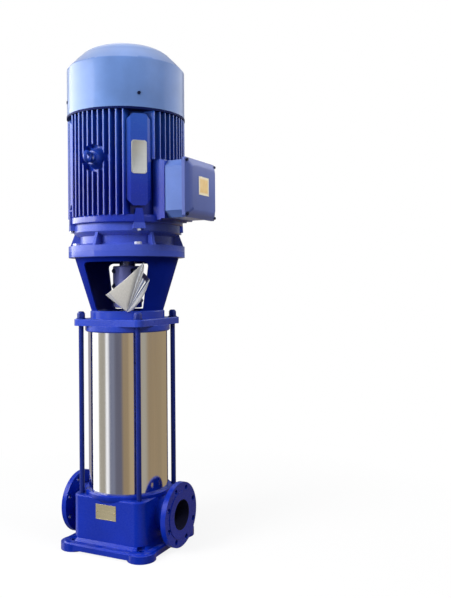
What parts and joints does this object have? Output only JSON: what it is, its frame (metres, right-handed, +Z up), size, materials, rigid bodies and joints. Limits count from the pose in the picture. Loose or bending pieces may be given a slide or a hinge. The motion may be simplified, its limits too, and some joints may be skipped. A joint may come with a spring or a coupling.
{
  "type": "vertical multistage in-line pump",
  "caption": "Vertical in-line multistage high pressure pump with a stainless barrel, opposed pipe flanges and a finned flange-mounted motor on a windowed lantern.",
  "frame": {"origin": "centre of the four foot holes, on the plane under the feet", "axes": "+Z up along the shaft, X along the two ports with the discharge at +X, -Y the front of the base"},
  "size_m": [0.514, 0.45, 1.708],
  "materials": {
    "blue_casting": "glossy",
    "brass_plate": "satin",
    "zinc_fastener": "satin",
    "polished_stainless": "polished",
    "gasket": "matte",
    "blue_rod": "glossy",
    "blue_nut": "glossy",
    "blue_head": "glossy",
    "brass_fitting": "satin",
    "brass_screw": "satin",
    "stage_stainless": "satin",
    "bearing_bronze": "satin",
    "shaft_steel": "polished",
    "seal_graphite": "matte",
    "seal_ceramic": "glossy",
    "blue_lantern": "glossy",
    "coupling_steel": "satin",
    "dark_fastener": "satin",
    "blue_shield": "glossy",
    "blue_frame": "glossy",
    "electrical_steel": "satin",
    "winding": "satin",
    "bearing_steel": "polished",
    "dark_rim": "satin",
    "fan_plastic": "matte",
    "blue_cover": "satin",
    "blue_box": "satin",
    "plug_plastic": "matte",
    "blue_box_cover": "satin",
    "board_plastic": "satin",
    "bare_nameplate": "satin",
    "pouch_paper": "satin",
    "impeller_stainless": "satin"
  },
  "bodies": {
    "pump": {"base_casting": "blue_casting", "base_plate": "brass_plate", "drain_plug": "zinc_fastener", "barrel": "polished_stainless", "barrel_gaskets": "gasket", "tie_rods": "blue_rod", "tie_rod_nuts": "blue_nut", "head_casting": "blue_head", "bleed_valve_body": "brass_fitting", "suction_spider": "stage_stainless", "lower_bearing_bush": "bearing_bronze", "stage_casings": "stage_stainless", "diffusers": "stage_stainless", "wear_rings": "bearing_bronze", "interstage_bushes": "bearing_bronze", "outlet_guide": "stage_stainless", "throat_bush": "bearing_bronze", "seal_stationary_seat": "seal_ceramic", "seal_gland": "blue_head", "seal_gland_screws": "zinc_fastener", "lantern": "blue_lantern", "lantern_screws": "zinc_fastener", "drive_end_shield": "blue_shield", "motor_frame": "blue_frame", "motor_flange_bolts": "zinc_fastener", "shield_screws": "zinc_fastener", "lifting_eyebolt": "blue_frame", "stator_core": "electrical_steel", "stator_windings": "winding", "bearing_outer_rings": "bearing_steel", "non_drive_end_shield": "dark_rim", "fan_cover": "blue_cover", "fan_cover_screws": "dark_fastener", "terminal_gasket": "gasket", "terminal_box": "blue_box", "cable_entry_plugs": "plug_plastic", "terminal_cover": "blue_box_cover", "terminal_cover_screws": "dark_fastener", "terminal_board": "board_plastic", "nameplate": "bare_nameplate", "document_pouch": "pouch_paper"},
    "shaft_train": {"pump_shaft": "shaft_steel", "impeller_1": "impeller_stainless", "impeller_2": "impeller_stainless", "impeller_3": "impeller_stainless", "impeller_4": "impeller_stainless", "impeller_5": "impeller_stainless", "impeller_6": "impeller_stainless", "spacer_sleeves": "shaft_steel", "impeller_lock_nut": "zinc_fastener", "seal_rotating_head": "seal_graphite", "coupling_half_front": "coupling_steel", "coupling_half_rear": "coupling_steel", "coupling_bolts": "dark_fastener", "motor_shaft": "shaft_steel", "rotor_core": "electrical_steel", "bearing_inner_rings": "bearing_steel", "bearing_balls": "bearing_steel", "cooling_fan": "fan_plastic"},
    "bleed_screw": {"bleed_screw": "brass_screw"}
  },
  "joints": [
    {"name": "shaft_spin", "type": "hinge", "parent": "pump", "child": "shaft_train", "pos_m": [0, 0, 0.9], "axis": [0, 0, 1], "continuous": true},
    {"name": "bleed_screw_turn", "type": "hinge", "parent": "pump", "child": "bleed_screw", "pos_m": [0, 0.16, 0.743], "axis": [0, 1, 0], "range_deg": [0, 360]}
  ]
}
